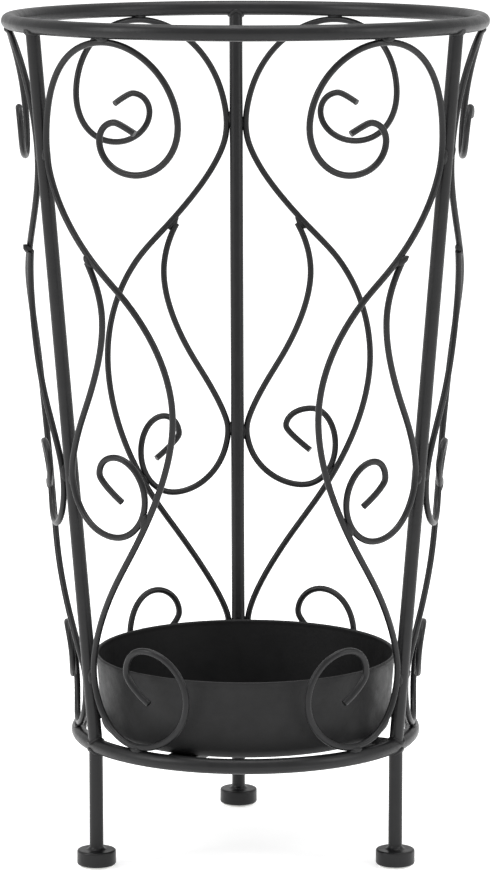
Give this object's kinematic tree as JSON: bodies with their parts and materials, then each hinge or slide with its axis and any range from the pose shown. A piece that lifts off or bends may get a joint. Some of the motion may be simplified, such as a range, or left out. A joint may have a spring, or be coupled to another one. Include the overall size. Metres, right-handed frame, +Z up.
{
  "type": "umbrella stand",
  "caption": "Tapered wire umbrella stand with rod rings, sloping legs on disc feet, mirrored scrolled wire panels and a round drip tray that lifts out.",
  "frame": {"origin": "centre of the stand on the floor, straight under the centre of both rings", "axes": "+Z up, along the height; front faces -Y, midway between the left and right legs; +X to the right seen from the front"},
  "size_m": [0.26, 0.26, 0.4563],
  "materials": {
    "frame_coating": "satin black powder coat with a fine grain",
    "tray_coating": "matte black powder coat on thin sheet",
    "pad_plastic": "pale cloudy plastic floor pad"
  },
  "bodies": {
    "frame": {"foot_back": "frame_coating", "foot_left": "frame_coating", "foot_right": "frame_coating", "leg_back": "frame_coating", "leg_left": "frame_coating", "leg_right": "frame_coating", "lower_ring": "frame_coating", "pad_back": "pad_plastic", "pad_left": "pad_plastic", "pad_right": "pad_plastic", "post_back": "frame_coating", "post_left": "frame_coating", "post_right": "frame_coating", "scroll_long_front_left": "frame_coating", "scroll_long_front_right": "frame_coating", "scroll_long_left_back": "frame_coating", "scroll_long_left_front": "frame_coating", "scroll_long_right_back": "frame_coating", "scroll_long_right_front": "frame_coating", "scroll_short_front_left": "frame_coating", "scroll_short_front_right": "frame_coating", "scroll_short_left_back": "frame_coating", "scroll_short_left_front": "frame_coating", "scroll_short_right_back": "frame_coating", "scroll_short_right_front": "frame_coating", "top_ring": "frame_coating", "tray_bar_left": "frame_coating", "tray_bar_long": "frame_coating", "tray_bar_right": "frame_coating"},
    "tray": {"tray": "tray_coating"}
  },
  "joints": [
    {"name": "tray_lift", "type": "slide", "parent": "frame", "child": "tray", "axis": [0, 0, 1], "range_m": [0, 0.4]}
  ]
}
